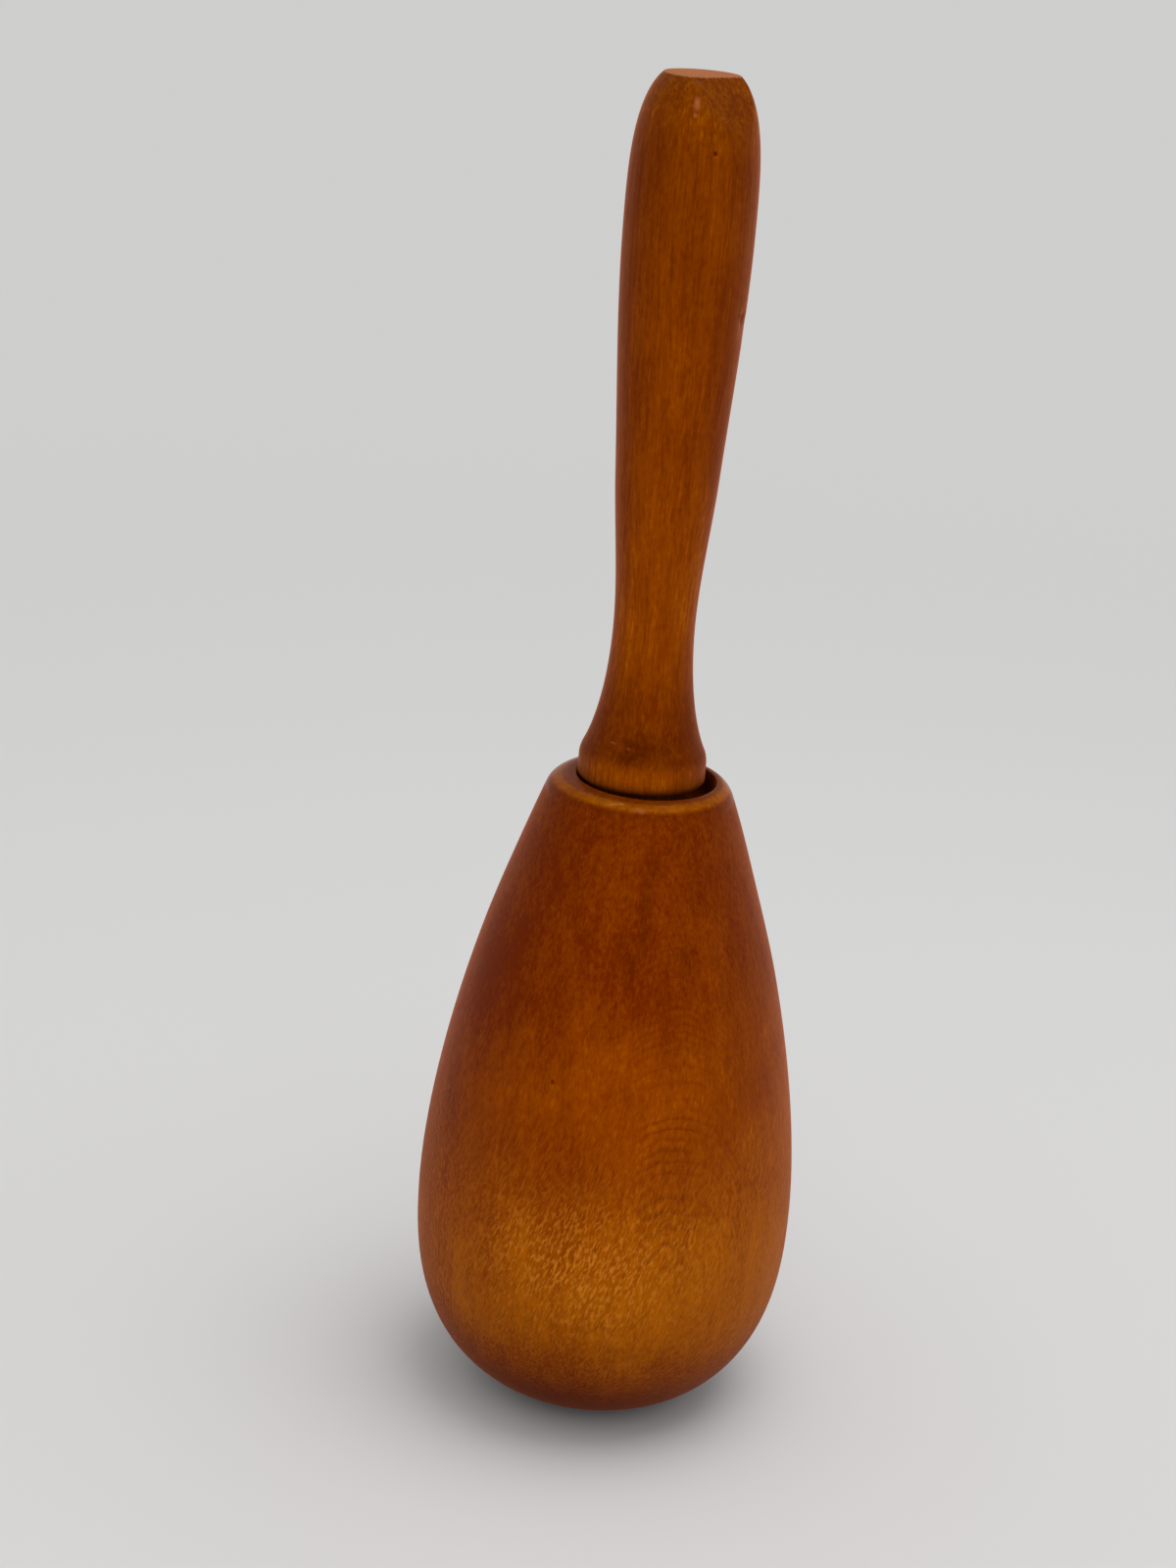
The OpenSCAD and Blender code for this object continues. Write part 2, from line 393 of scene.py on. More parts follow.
def spread(tree, place, value, lowIn, highIn, lowOut=0.0, highOut=1.0, smooth=True):
    made = addNode(tree, "MapRange", place, {"Value": value, "From Min": lowIn, "From Max": highIn,
                                             "To Min": lowOut, "To Max": highOut},
                   interpolation_type="SMOOTHSTEP" if smooth else "LINEAR")
    return made.outputs[0]


def blendColours(tree, place, amount, a, b, way="MIX"):
    made = addNode(tree, "Mix", place, {0: amount, 6: a, 7: b}, data_type="RGBA", blend_type=way)
    return made.outputs[2]


def stretched(tree, place, vector, scale, turn=(0, 0, 0), shift=(0, 0, 0)):
    made = addNode(tree, "Mapping", place, {
        "Vector": vector, "Location": shift, "Rotation": turn, "Scale": scale})
    return made.outputs[0]


def noise(tree, place, vector, scale=1.0, detail=2.0, roughness=0.5):
    made = addNode(tree, "TexNoise", place, {"Vector": vector, "Scale": scale, "Detail": detail,
                                             "Roughness": roughness})
    return made.outputs["Fac"]


def newGroup(name, inputs, outputs):
    tree = bpy.data.node_groups.new(name, "ShaderNodeTree")
    for label, kind, value in inputs:
        socket = tree.interface.new_socket(label, in_out="INPUT", socket_type="NodeSocket" + kind)
        if value is not None:
            socket.default_value = value
    for label in outputs:
        tree.interface.new_socket(label, in_out="OUTPUT", socket_type="NodeSocketFloat")
    enter = tree.nodes.new("NodeGroupInput")
    enter.location = (-1400, 0)
    leave = tree.nodes.new("NodeGroupOutput")
    leave.location = (1200, 0)
    return tree, enter.outputs, leave.inputs


def useGroup(tree, group, place, inputs):
    made = tree.nodes.new("ShaderNodeGroup")
    made.node_tree = group
    made.location = place
    for socket, value in inputs.items():
        if isinstance(value, bpy.types.NodeSocket):
            tree.links.new(value, made.inputs[socket])
        else:
            made.inputs[socket].default_value = value
    return made.outputs


noiseSpan = (0.32, 0.68)     # nearly all of a noise lies between these


def centred(tree, place, value, reach):
    # a noise turned into -reach to +reach
    return spread(tree, place, value, *noiseSpan, -reach, reach, smooth=False)


# how often each part of the grain repeats in a millimetre: twice across the grain, then along it
grainScale = {
    "slow": (0.07, 0.07, 0.022), "quick": (0.8, 0.8, 0.16), "groups": (0.16, 0.16, 0.09),
    "streaks": (0.8, 0.8, 0.022), "lines": (2.3, 2.3, 0.12), "fibre": (4.2, 4.2, 0.2),
    "dashes": (3.3, 3.3, 1.15), "blotch": (0.13, 0.13, 0.08), "mottle": (2.0, 2.0, 1.1),
}
# where a noise turns into fine lines or into short dashes
grainCut = {"lines": (0.55, 0.7), "dashes": (0.42, 0.64)}
ringForm = {
    "shiver": 0.2,                                # small waver of a ring, in millimetres
    "lateRise": (0.4, 0.86), "lateEnd": (1.0, 0.9),   # where in a ring its dark late wood comes and goes
    "weight": (0.15, 1, 0.1, 1),                  # from faint rings to strong ones
    "fade": (1.45, 0.8),                          # to the sides, in arch reaches
    "groups": (0.4, 0.6, 0.4, 1),
    "windingTop": 48.0,                           # millimetres up, where the winding of the marks ends
}


def makeGrainGroup():
    # Place is in millimetres, grain along Z, the pith on the Z axis and the bark side towards +X
    tree, enter, leave = newGroup("woodGrain", [
        ("Place", "Vector", None), ("Ring Gap", "Float", 0.3), ("Wander", "Float", 0.6),
        ("Arch Reach", "Float", 6.0), ("Twist", "Float", 0.004)],
        ["Arches", "Streaks", "Lines", "Fibre", "Dashes", "Blotch", "Mottle"])
    place = enter["Place"]
    flat = addNode(tree, "VectorMath", (-1200, 300), {0: place, 1: (1, 1, 0)},
                   operation="MULTIPLY").outputs[0]
    distance = addNode(tree, "VectorMath", (-1020, 300), {0: flat}, operation="LENGTH").outputs["Value"]

    def layer(name, column, row, vector, detail=2.0, roughness=0.5):
        long = stretched(tree, (column - 180, row), vector, grainScale[name])
        return noise(tree, (column, row), long, 1, detail, roughness)

    slow = layer("slow", -1020, 100, place)
    quick = layer("quick", -1020, -100, place)
    drift = calc(tree, (-840, 100), "MULTIPLY",
                 calc(tree, (-840, 180), "SUBTRACT", slow, 0.5), enter["Wander"])
    shiver = calc(tree, (-840, -100), "MULTIPLY",
                  calc(tree, (-840, -20), "SUBTRACT", quick, 0.5), ringForm["shiver"])
    ringAt = calc(tree, (-660, 300), "ADD", calc(tree, (-660, 200), "ADD", distance, drift), shiver)
    count = calc(tree, (-480, 300), "DIVIDE", ringAt, enter["Ring Gap"])
    saw = calc(tree, (-300, 360), "FRACT", count)
    late = calc(tree, (-120, 360), "MULTIPLY",
                spread(tree, (-300, 200), saw, *ringForm["lateRise"]),
                spread(tree, (-120, 200), saw, *ringForm["lateEnd"]))
    eachRing = addNode(tree, "TexWhiteNoise", (-300, 40), {"W": calc(tree, (-480, 40), "FLOOR", count)},
                       noise_dimensions="1D").outputs["Value"]
    weight = spread(tree, (-120, 40), eachRing, *ringForm["weight"], smooth=False)
    # the arches show only where the rings lie nearly along the surface, and come in groups
    aside = calc(tree, (-660, 520), "ABSOLUTE",
                 addNode(tree, "SeparateXYZ", (-840, 520), {"Vector": place}).outputs["Y"])
    near = calc(tree, (-480, 520), "DIVIDE", aside, enter["Arch Reach"])
    groups = layer("groups", -480, 700, place)
    shown = calc(tree, (-120, 600), "MULTIPLY", spread(tree, (-300, 520), near, *ringForm["fade"]),
                 spread(tree, (-300, 700), groups, *ringForm["groups"]))
    tree.links.new(calc(tree, (240, 360), "MULTIPLY",
                        calc(tree, (60, 360), "MULTIPLY", late, weight), shown), leave["Arches"])

    # the grain winds slowly round the axis, so that the marks slant
    height = calc(tree, (-1320, -500), "MINIMUM",
                  addNode(tree, "SeparateXYZ", (-1500, -500), {"Vector": place}).outputs["Z"],
                  ringForm["windingTop"])
    wound = addNode(tree, "VectorRotate", (-1020, -420), {
        "Vector": place, "Angle": calc(tree, (-1200, -640), "MULTIPLY", height, enter["Twist"])},
        rotation_type="Z_AXIS").outputs[0]
    tree.links.new(layer("streaks", -660, -120, place), leave["Streaks"])
    lines = layer("lines", -660, -320, place, detail=1.5)
    tree.links.new(spread(tree, (-480, -320), lines, *grainCut["lines"]), leave["Lines"])
    tree.links.new(layer("fibre", -660, -520, wound, detail=4, roughness=0.6), leave["Fibre"])
    dashes = layer("dashes", -660, -720, wound)
    tree.links.new(spread(tree, (-480, -720), dashes, *grainCut["dashes"]), leave["Dashes"])
    tree.links.new(layer("blotch", -660, -920, place, detail=4, roughness=0.55), leave["Blotch"])
    tree.links.new(layer("mottle", -660, -1120, place, detail=3, roughness=0.6), leave["Mottle"])
    return tree


def makeMarkGroup():
    # a soft-edged oval patch: 1 in the middle, 0 outside
    tree, enter, leave = newGroup("woodMark", [
        ("Position", "Vector", None), ("Centre", "Vector", None), ("Reach", "Vector", None),
        ("Core", "Float", 0.4), ("Ragged", "Float", 0.3)], ["Mask"])
    away = addNode(tree, "VectorMath", (-1100, 100), {0: enter["Position"], 1: enter["Centre"]},
                   operation="SUBTRACT").outputs[0]
    share = addNode(tree, "VectorMath", (-920, 100), {0: away, 1: enter["Reach"]},
                    operation="DIVIDE").outputs[0]
    length = addNode(tree, "VectorMath", (-740, 100), {0: share}, operation="LENGTH").outputs["Value"]
    rough = noise(tree, (-920, -120), share, scale=2.3, detail=3, roughness=0.6)
    torn = calc(tree, (-560, -60), "MULTIPLY",
                calc(tree, (-740, -120), "SUBTRACT", rough, 0.5), enter["Ragged"])
    edge = calc(tree, (-560, 100), "ADD", length, torn)
    inner = addNode(tree, "MapRange", (-380, 100), {
        "Value": edge, "From Min": 1.0, "From Max": enter["Core"]},
        interpolation_type="SMOOTHSTEP").outputs[0]
    tree.links.new(inner, leave["Mask"])
    return tree


woodGrain = makeGrainGroup()
woodMark = makeMarkGroup()
print("shared node groups made")


def colour(red, green, blue):
    # the red, green and blue that a picture shows, 0 to 255, made linear for a socket
    linear = [c / 255 / 12.92 if c <= 10 else ((c / 255 + 0.055) / 1.055) ** 2.4 for c in (red, green, blue)]
    return (*linear, 1.0)


eggWood = {
    "dark": colour(85, 25, 0), "middle": colour(117, 51, 0), "light": colour(154, 82, 0),
    # painted highlight: the glint tone, laid on the raised fibres in the shine patch, paints the satin sheen
    # low on the belly
    "archTone": colour(84, 27, 0), "paintedGlintTone": colour(176, 104, 26),
    "paintedShineAt": (-1.0, -23.0, 26.0), "paintedShineReach": (21, 14, 12),
    "ringGap": 0.25, "wander": 1.0,
    "barkSide": 22,          # degrees round from the front, where the ring arches show
    "pithAway": 110,         # millimetres from the axis to the heart of the tree
    "archReach": 8, "lean": -4, "twist": -0.013,
    "roughness": 0.46,
    # how far each part of the grain shifts the stain between dark (0) and light (1)
    "blotch": 0.13, "streaks": 0.07, "fibre": 0.11, "mottle": 0.12,
    # the glint amount paints highlight strokes in the glint tone on the raised fibres
    "lines": 0.0, "arches": 0.5, "fibresAndPaintedGlints": 0.75,
    "dashes": 0.10,          # how high the short raised fibres stand, in millimetres
    # shifts of the tone, each from one height to another in millimetres, and the shift at either
    # the second of these lightens the belly as a painted highlight
    "taperTone": (40.0, 68.0, 0.38, 0.12), "bellyPaintedHighlight": (41.0, 24.0, 0.0, 0.36),
    # painted shade: the tone falls towards the foot, where the floor shades it
    "footPaintedShade": (18.0, 5.0, 0.0, 0.75),
    "sidePaintedLight": 0.006,       # painted light: lighter for each millimetre to the right
    # painted highlight: a light line along the rim's rounding and its top
    "rimHighlightFrom": (80.6, 81.2), "rimHighlightTop": (81.76, 81.5, 0.35, 1.0), "rimPaintedHighlight": 0.68,
    # bare, dark and polished places, between two radii or heights; dark is painted shade with dirt in the
    # mouth and painted shade under the foot
    "socketRadius": (5.7, 5.4), "socketHeight": (50.0, 52.0),
    "mouthRadius": (9.7, 9.4), "mouthHeight": (81.75, 81.4), "floorHeight": (74.0, 76.0),
    "floorRadius": (5.5, 5.8), "footPaintedShadeMask": (10.0, 2.0, 0.0, 1.0),
    "rimPolish": (79.0, 80.8, 0.0, 0.30), "topPolish": (81.79, 81.6, 0.3, 1.0),
    # centre, reach, core, ragged, and how far the mark darkens (below 1) or lightens
    "marks": [
        ((2.1, -14.0, 71), (1.5, 6, 11), 0.0, 1.5, 0.80),
        ((0.6, -16.6, 64.3), (2.6, 6, 4.0), 0.0, 1.5, 0.80),
        ((6.6, -15.2, 64.5), (2.4, 6, 2.6), 0.0, 1.5, 0.84),
        ((-7.2, -19.3, 49.3), (0.32, 2, 0.42), 0.3, 0.4, 0.4),
        ((9.4, -20.6, 36.5), (0.25, 2, 1.1), 0.2, 0.5, 0.7),
        ((-13.8, -17.6, 35.0), (0.5, 2, 0.3), 0.2, 0.6, 0.75),
        ((0.2, -10.7, 81.1), (1.3, 2, 0.4), 0.0, 1.2, 1.35),
    ],
}
handleWood = {
    "dark": colour(84, 30, 0), "middle": colour(109, 48, 0), "light": colour(146, 76, 0),
    # painted highlight: a faint glint tone in a small shine patch on the neck
    "archTone": colour(70, 18, 0), "paintedGlintTone": colour(150, 84, 10),
    "paintedShineAt": (0, -6.0, 95.0), "paintedShineReach": (6, 6, 12),
    "ringGap": 0.85, "wander": 1.1,
    "barkSide": -62,
    "pithAway": 46,
    "archReach": 2, "lean": 1.2, "twist": 0.006,
    "roughness": 0.46,
    "blotch": 0.11, "streaks": 0.11, "fibre": 0.18, "mottle": 0.12,
    "lines": 0.42, "arches": 0.12, "fibresAndPaintedGlints": 0.05,
    "dashes": 0.012,
    "gripTone": (104.0, 126.0, 0.44, 0.24), "topTone": (154.0, 165.0, 0.0, 0.4),
    "flareTone": (84.0, 86.0, 0.04, 0.32), "flareHeight": (100.0, 89.0),
    "tenonHeight": (79.4, 78.9), "topHeight": (165.1, 165.3), "topTorn": 0.5,
    "collarDirtAndShade": (82.6, 82.1, 0.0, 0.5), "collarHeight": (81.2, 81.6),
    "neckPolish": (90.0, 100.0, 0.0, 0.03),
    "marks": [
        ((2.15, -6.9, 157.2), (0.35, 2, 0.4), 0.3, 0.3, 0.35),
        ((6.8, -2.9, 138.9), (1.0, 1.4, 0.5), 0.2, 0.7, 0.42),
        ((0.3, -6.5, 87.4), (6.5, 5, 2.6), 0.0, 1.5, 0.66),
        ((-1.8, -6.9, 86.2), (2.6, 5, 1.2), 0.0, 1.5, 0.72),
        ((-0.3, -5.96, 162.3), (0.55, 2, 1.05), 0.0, 1.0, 1.6),
        ((-0.35, -6.2, 161.1), (0.5, 2, 0.35), 0.0, 1.0, 1.35),
        ((-3.6, -5.6, 87.5), (0.5, 2, 0.22), 0.0, 1.2, 1.3),
        ((-1.7, -6.6, 87.2), (0.45, 2, 0.2), 0.0, 1.2, 1.15),
        ((-1.4, -7.2, 143.0), (0.3, 2, 2.4), 0.1, 0.6, 0.78),
    ],
}
rawWood = {
    "pale": colour(190, 128, 84), "grey": colour(150, 92, 58), "dull": colour(172, 100, 58),
    "rougher": 0.3,
}
# what both stained woods share, with heights in millimetres and the values there
stain = {
    "archHeight": (20.0, 32.0, 0.12),
    "fibreUpper": (46.0, 30.0, 0.06, 1.0), "fibreFoot": (5.0, 15.0, 0.15, 1.0),
    "paintedShineLeast": 0.25,      # share of the painted glints that is left outside the painted shine patch
    # the tone that dirt and painted shade multiply the stain by
    "grimeAndPaintedShade": (0.42, 0.30, 0.2, 1),
    "roughFrom": (0.3, 0.7), "roughSpread": 0.05,
    "redder": (1.0, 1.2, 1.4),   # powers of a dark mark's factor for red, green and blue
    "fibreHeight": 0.014,    # how high the fine fibres stand, in millimetres
    "polishFlattens": (0.0, 0.28, 1.0, 0.08),
}
# thin and worn satin: a low gloss, and the fine raised fibres glow warm along the edges
varnish = {
    "gloss": 0.05, "glossTint": colour(255, 140, 40),
    "sheen": 0.3, "sheenRoughness": 0.35, "sheenTint": colour(255, 120, 0),
}


def startMaterial(name):
    material = bpy.data.materials.new(name)
    material.use_nodes = True
    tree = material.node_tree
    tree.nodes.clear()
    where = addNode(tree, "TexCoord", (-2600, 0)).outputs["Object"]
    inMillimetres = addNode(tree, "VectorMath", (-2420, 0), {0: where, "Scale": 1 / mm},
                            operation="SCALE").outputs[0]
    return material, tree, inMillimetres


def raisedShare(tree, xyz):
    # the raised fibres, and the highlight strokes painted on them, stand out most on the lower belly
    return calc(tree, (-1100, -60), "MULTIPLY", spread(tree, (-1280, -60), xyz[2], *stain["fibreUpper"]),
                spread(tree, (-1280, -220), xyz[2], *stain["fibreFoot"]))


def stainedWood(name, look, rawMask, gradient, darkeningAndPolish):
    # rawMask, gradient and the darkening function add nodes of their own:
    # bare wood; a shift of the stain, which on the egg holds painted highlights and painted shade; a
    # darkening of painted shade with dirt; and polish
    material, tree, place = startMaterial(name)
    turn = math.radians(90 - look["barkSide"])
    turned = stretched(tree, (-2200, 0), place, (1, 1, 1), turn=(0, math.radians(look["lean"]), turn),
                       shift=(look["pithAway"], 0, 0))
    # the grain that winds round needs the axis in its middle
    rings = useGroup(tree, woodGrain, (-1960, 0), {
        "Place": turned, "Ring Gap": look["ringGap"], "Wander": look["wander"],
        "Arch Reach": look["archReach"], "Twist": 0.0})
    grain = useGroup(tree, woodGrain, (-1960, -400), {"Place": place, "Twist": look["twist"]})
    xyz = addNode(tree, "SeparateXYZ", (-2200, -300), {"Vector": place}).outputs

    tone = gradient(tree, xyz, look)
    for number, (output, reach) in enumerate((("Blotch", look["blotch"]), ("Streaks", look["streaks"]),
                                              ("Fibre", look["fibre"]), ("Mottle", look["mottle"]))):
        part = centred(tree, (-1600, 500 - 160 * number), grain[output], reach)
        tone = calc(tree, (-1420 + 100 * number, 500 - 160 * number), "ADD", tone, part)
    ramp = addNode(tree, "ValToRGB", (-960, 300), {"Fac": tone})
    ramp.color_ramp.elements[0].position, ramp.color_ramp.elements[0].color = 0.0, look["dark"]
    ramp.color_ramp.elements[1].position, ramp.color_ramp.elements[1].color = 1.0, look["light"]
    ramp.color_ramp.elements.new(0.5).color = look["middle"]
    shade = ramp.outputs["Color"]
    arches = calc(tree, (-1000, 120), "MULTIPLY", rings["Arches"],
                  spread(tree, (-1180, 120), xyz[2], *stain["archHeight"], look["arches"]))
    shade = blendColours(tree, (-660, 300), arches, shade, look["archTone"])
    # painted highlight strokes on the raised fibres, which also stand up in the bump
    fibresAndPaintedGlints = calc(tree, (-1000, -60), "MULTIPLY", grain["Dashes"], raisedShare(tree, xyz))
    # painted highlight: the strokes are painted lighter, most in one patch at the front
    patch = useGroup(tree, woodMark, (-1180, -440), {
        "Position": place, "Centre": look["paintedShineAt"], "Reach": look["paintedShineReach"],
        "Core": 0.0, "Ragged": 0.8})["Mask"]
    least = stain["paintedShineLeast"] * look["fibresAndPaintedGlints"]
    patch = calc(tree, (-1000, -440), "MULTIPLY_ADD", patch, look["fibresAndPaintedGlints"] - least, least)
    shade = blendColours(tree, (-620, 300), calc(tree, (-840, -60), "MULTIPLY", fibresAndPaintedGlints, patch),
                         shade, look["paintedGlintTone"])
    lines = calc(tree, (-760, 120), "MULTIPLY", grain["Lines"], look["lines"])
    shade = blendColours(tree, (-580, 300), lines, shade, look["dark"])
    for number, (centre, reach, core, ragged, factor) in enumerate(look["marks"]):
        mask = useGroup(tree, woodMark, (-760, -200 - 220 * number), {
            "Position": place, "Centre": centre, "Reach": reach, "Core": core, "Ragged": ragged})["Mask"]
        spot = (-400 + 60 * number, 300 - 60 * number)
        if factor < 1:                       # a dark mark turns redder
            redder = (*(factor ** power for power in stain["redder"]), 1)
            shade = blendColours(tree, spot, mask, shade, redder, way="MULTIPLY")
        else:                                # a light one is where the varnish has gone dull
            pale = calc(tree, (spot[0], spot[1] - 200), "MULTIPLY", mask, factor - 1)
            shade = blendColours(tree, spot, pale, shade, rawWood["dull"])

    bare = rawMask(tree, xyz, grain, look)
    rawTone = blendColours(tree, (-200, -100), grain["Fibre"], rawWood["grey"], rawWood["pale"])
    shade = blendColours(tree, (60, 300), bare, shade, rawTone)
    dirtAndPaintedShade, polish = darkeningAndPolish(tree, xyz, look)
    # painted shade and dirt darken the stain
    shade = blendColours(tree, (240, 300), dirtAndPaintedShade, shade, stain["grimeAndPaintedShade"], way="MULTIPLY")

    rough = spread(tree, (-200, 0), grain["Fibre"], *stain["roughFrom"],
                   look["roughness"] + stain["roughSpread"], look["roughness"] - stain["roughSpread"])
    rough = calc(tree, (0, 0), "ADD", rough, calc(tree, (-200, -260), "MULTIPLY", bare, rawWood["rougher"]))
    rough = calc(tree, (120, 0), "SUBTRACT", rough, polish)
    height = calc(tree, (0, -200), "ADD", calc(tree, (-200, -400), "MULTIPLY", fibresAndPaintedGlints, look["dashes"]),
                  calc(tree, (-200, -520), "MULTIPLY", grain["Fibre"], stain["fibreHeight"]))
    height = calc(tree, (100, -300), "MULTIPLY", height,
                  spread(tree, (-100, -640), polish, *stain["polishFlattens"]))
    bump = addNode(tree, "Bump", (200, -200), {"Strength": 1.0, "Distance": mm, "Height": height})
    surface = addNode(tree, "BsdfPrincipled", (460, 200), {
        "Base Color": shade, "Roughness": rough, "Normal": bump.outputs[0],
        "IOR": 1.5, "Specular IOR Level": varnish["gloss"], "Specular Tint": varnish["glossTint"],
        "Sheen Weight": varnish["sheen"], "Sheen Roughness": varnish["sheenRoughness"],
        "Sheen Tint": varnish["sheenTint"]})
    out = addNode(tree, "OutputMaterial", (760, 200))
    tree.links.new(surface.outputs[0], out.inputs[0])
    return material


def radiusOf(tree, xyz, row):
    squares = [calc(tree, (-1960, row - 160 * k), "POWER", xyz[k], 2.0) for k in (0, 1)]
    return calc(tree, (-1600, row), "SQRT", calc(tree, (-1780, row), "ADD", *squares))


def eggRaw(tree, xyz, grain, look):
    # the socket was bored after staining
    radius = radiusOf(tree, xyz, -700)
    return calc(tree, (-1240, -700), "MULTIPLY", spread(tree, (-1420, -700), radius, *look["socketRadius"]),
                spread(tree, (-1420, -860), xyz[2], *look["socketHeight"]))


def eggGradient(tree, xyz, look):
    # darker towards the rim, with painted shade right at the foot, and painted highlights low on the belly
    # and along the rim itself
    rising = calc(tree, (-1420, 120), "ADD", spread(tree, (-1600, 120), xyz[2], *look["taperTone"]),
                  spread(tree, (-1600, -200), xyz[2], *look["bellyPaintedHighlight"]))
    # and painted light: a little lighter round the right side
    rising = calc(tree, (-1240, 280), "MULTIPLY_ADD", xyz[0], look["sidePaintedLight"], rising)
    # painted highlight along the rim's rounding, lightest in a line
    paintedRimLine = calc(tree, (-1420, 400), "MULTIPLY", spread(tree, (-1600, 400), xyz[2], *look["rimHighlightFrom"]),
                spread(tree, (-1600, 560), xyz[2], *look["rimHighlightTop"]))
    rim = calc(tree, (-1420, 240), "MULTIPLY_ADD", paintedRimLine, look["rimPaintedHighlight"], rising)
    # painted shade at the foot is taken off the tone
    return calc(tree, (-1240, 120), "SUBTRACT", rim, spread(tree, (-1420, -40), xyz[2], *look["footPaintedShade"]))


def eggDirtShadeAndPolish(tree, xyz, look):
    # painted shade with dirt inside the mouth, painted shade under the foot, and polished by hands on the
    # rounded rim
    radius = radiusOf(tree, xyz, -1300)
    # painted shade with dirt deep in the mouth, under the collar
    inMouth = calc(tree, (-1240, -1300), "MULTIPLY",
                   spread(tree, (-1420, -1300), radius, *look["mouthRadius"]),
                   spread(tree, (-1420, -1460), xyz[2], *look["mouthHeight"]))
    inMouth = calc(tree, (-1060, -1300), "MULTIPLY", inMouth,
                   spread(tree, (-1240, -1460), xyz[2], *look["floorHeight"]))
    inMouth = calc(tree, (-880, -1300), "MULTIPLY", inMouth,
                   spread(tree, (-1060, -1460), radius, *look["floorRadius"]))
    # painted shade under the foot, where it meets the floor
    foot = spread(tree, (-880, -1620), xyz[2], *look["footPaintedShadeMask"])
    polish = calc(tree, (-700, -1460), "MULTIPLY", spread(tree, (-880, -1460), xyz[2], *look["rimPolish"]),
                  spread(tree, (-880, -1780), xyz[2], *look["topPolish"]))
    return calc(tree, (-700, -1300), "MAXIMUM", inMouth, foot), polish


def handleRaw(tree, xyz, grain, look):
    # the tenon was never stained, and the flat top is worn through
    tenon = spread(tree, (-1420, -700), xyz[2], *look["tenonHeight"])
    torn = calc(tree, (-1600, -860), "MULTIPLY", grain["Fibre"], look["topTorn"])
    top = spread(tree, (-1240, -860), calc(tree, (-1420, -860), "ADD", xyz[2], torn), *look["topHeight"])
    return calc(tree, (-1060, -700), "MAXIMUM", tenon, top)


def handleGradient(tree, xyz, look):
    # darker on the flare, lighter on the collar, the neck and the worn end
    rising = spread(tree, (-1600, 120), xyz[2], *look["gripTone"])
    flare = calc(tree, (-1420, 0), "MULTIPLY", spread(tree, (-1600, -40), xyz[2], *look["flareTone"]),
                 spread(tree, (-1600, -180), xyz[2], *look["flareHeight"]))
    worn = calc(tree, (-1420, 260), "ADD", rising, spread(tree, (-1600, 400), xyz[2], *look["topTone"]))
    return calc(tree, (-1240, 120), "SUBTRACT", worn, flare)


def handleDirtShadeAndPolish(tree, xyz, look):
    # dirt and painted shade on the collar's foot, by the gap above the rim, and the neck a little polished
    foot = spread(tree, (-1240, -1300), xyz[2], *look["collarDirtAndShade"])
    above = calc(tree, (-1060, -1300), "MULTIPLY", foot,
                 spread(tree, (-1240, -1460), xyz[2], *look["collarHeight"]))
    return above, spread(tree, (-880, -1460), xyz[2], *look["neckPolish"])


eggMaterial = stainedWood("stainedEggWood", eggWood, eggRaw, eggGradient, eggDirtShadeAndPolish)
handleMaterial = stainedWood("stainedHandleWood", handleWood, handleRaw, handleGradient, handleDirtShadeAndPolish)
egg.data.materials.clear()
egg.data.materials.append(eggMaterial)
handle.data.materials.clear()
handle.data.materials.append(handleMaterial)
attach(egg, "egg")
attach(handle, "handle")
print("wood laid on both pieces")


studio = {
    "floorSize": 12.0,
    "floorTone": (0.80, 0.79, 0.775, 1), "floorRoughness": 0.9, "floorGloss": 0.1,
    "farTone": (0.62, 0.62, 0.615, 1),      # the pale backdrop, and the floor further off
    "farFrom": 0.10, "farTo": 0.55,          # metres from the egg
    "roomLight": 0.60,
    "roomColour": (0.97, 0.98, 1.0, 1),
    # name, place, aimed at, width, depth, watts, tint, and its use: a fill only lights, a glint only mirrors
    "lamps": [
        ("overheadLamp", (0.16, -0.04, 0.84), (0, 0, 0.06), 0.6, 0.6, 2.0, (1.0, 1.0, 1.0), "lamp"),
        ("frontLamp", (0.05, -0.52, 0.68), (0, 0, 0.08), 0.6, 0.6, 0.5, (1.0, 1.0, 1.0), "fill"),
        ("groundGlow", (0.03, -0.175, 0.004), (0.03, -0.175, 1), 0.40, 0.16, 1.2, (1.0, 0.95, 0.88), "fill"),
        ("rimGlint", (-0.225, 0.171, 0.94), (0, 0, 0.082), 0.40, 0.03, 2.0, (1.0, 0.86, 0.62), "glint"),
    ],
}


def shownRays(tree, place):
    # 1 for the rays that show the backdrop: seen, mirrored or through glass
    rays = addNode(tree, "LightPath", place).outputs
    either = calc(tree, (place[0] + 200, place[1]), "MAXIMUM", rays["Is Camera Ray"], rays["Is Glossy Ray"])
    return calc(tree, (place[0] + 400, place[1]), "MAXIMUM", either, rays["Is Transmission Ray"])


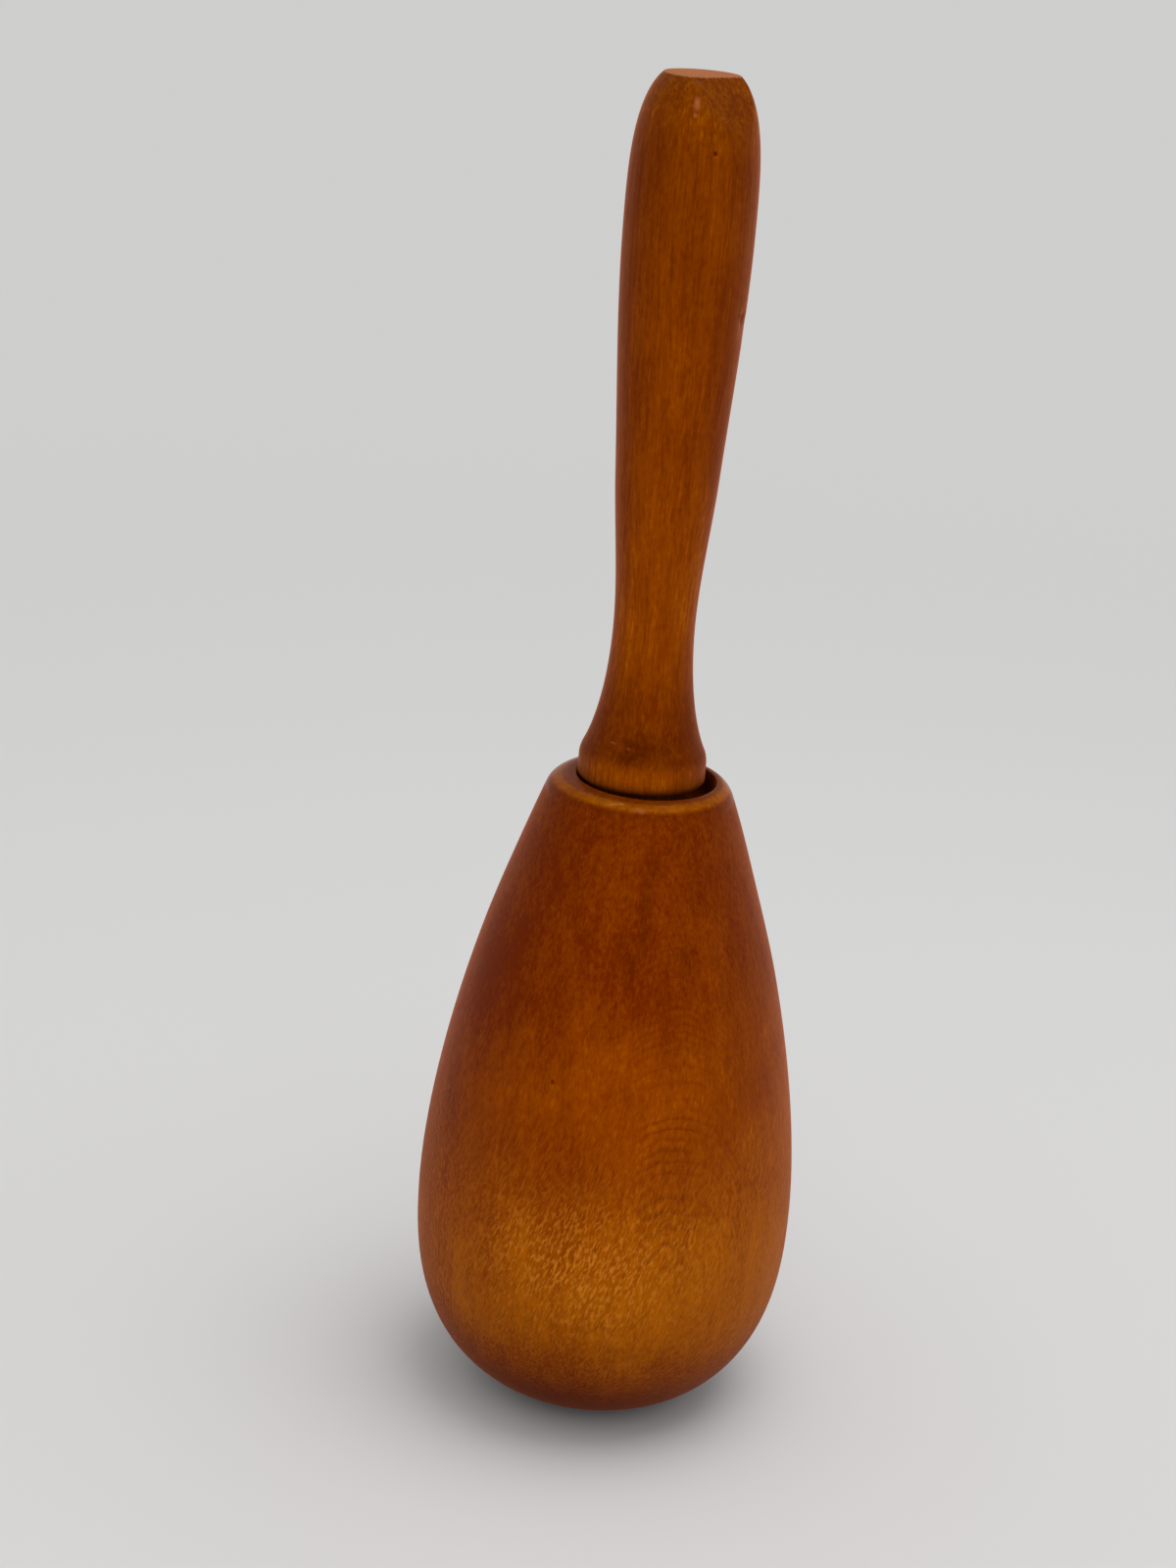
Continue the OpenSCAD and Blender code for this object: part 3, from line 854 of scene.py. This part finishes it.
def layFloor(s):
    nothingSelected()
    bpy.ops.mesh.primitive_plane_add(size=s["floorSize"], location=(0, 0, 0))
    floor = bpy.context.object
    floor.name = "paleFloor"
    material = bpy.data.materials.new("paleFloorPaint")
    material.use_nodes = True
    tree = material.node_tree
    surface = tree.nodes["Principled BSDF"]
    surface.inputs["Base Color"].default_value = s["floorTone"]
    surface.inputs["Roughness"].default_value = s["floorRoughness"]
    surface.inputs["Specular IOR Level"].default_value = s["floorGloss"]
    # further off, where the lamps fall away, the floor shows an even pale tone
    where = addNode(tree, "TexCoord", (-1200, -300)).outputs["Object"]
    away = addNode(tree, "VectorMath", (-1000, -300), {0: where}, operation="LENGTH").outputs["Value"]
    far = spread(tree, (-800, -300), away, s["farFrom"], s["farTo"])
    seen = shownRays(tree, (-1400, -100))
    even = addNode(tree, "Emission", (-400, -300), {"Color": s["farTone"], "Strength": 1.0})
    both = addNode(tree, "MixShader", (200, 0), {
        0: calc(tree, (-600, -200), "MULTIPLY", far, seen), 1: surface.outputs[0], 2: even.outputs[0]})
    tree.links.new(both.outputs[0], tree.nodes["Material Output"].inputs["Surface"])
    floor.data.materials.append(material)


def hangLamps(s):
    for name, place, target, width, depth, watts, tint, use in s["lamps"]:
        bpy.ops.object.light_add(type="AREA", location=place)
        lamp = bpy.context.object
        lamp.name = name
        lamp.rotation_euler = (Vector(target) - Vector(place)).to_track_quat("-Z", "Y").to_euler()
        lamp.data.shape = "RECTANGLE" if name.startswith("ground") else "ELLIPSE"
        lamp.data.size = width
        lamp.data.size_y = depth
        lamp.data.energy = watts
        lamp.data.color = tint
        lamp.visible_camera = False
        lamp.visible_diffuse = use != "glint"
        lamp.visible_glossy = use != "fill"
    world = bpy.data.worlds.new("studioRoom")
    bpy.context.scene.world = world
    world.use_nodes = True
    tree = world.node_tree
    tree.nodes.clear()
    light = addNode(tree, "Background", (-300, 0), {"Color": s["roomColour"], "Strength": s["roomLight"]})
    pale = addNode(tree, "Background", (-300, -150), {"Color": s["farTone"], "Strength": 1.0})
    both = addNode(tree, "MixShader", (0, 0), {
        0: shownRays(tree, (-900, 200)), 1: light.outputs[0], 2: pale.outputs[0]})
    out = addNode(tree, "OutputWorld", (200, 0))
    tree.links.new(both.outputs[0], out.inputs[0])


layFloor(studio)
hangLamps(studio)
bpy.context.scene.view_settings.view_transform = "Standard"
print("floor laid and lamps hung")
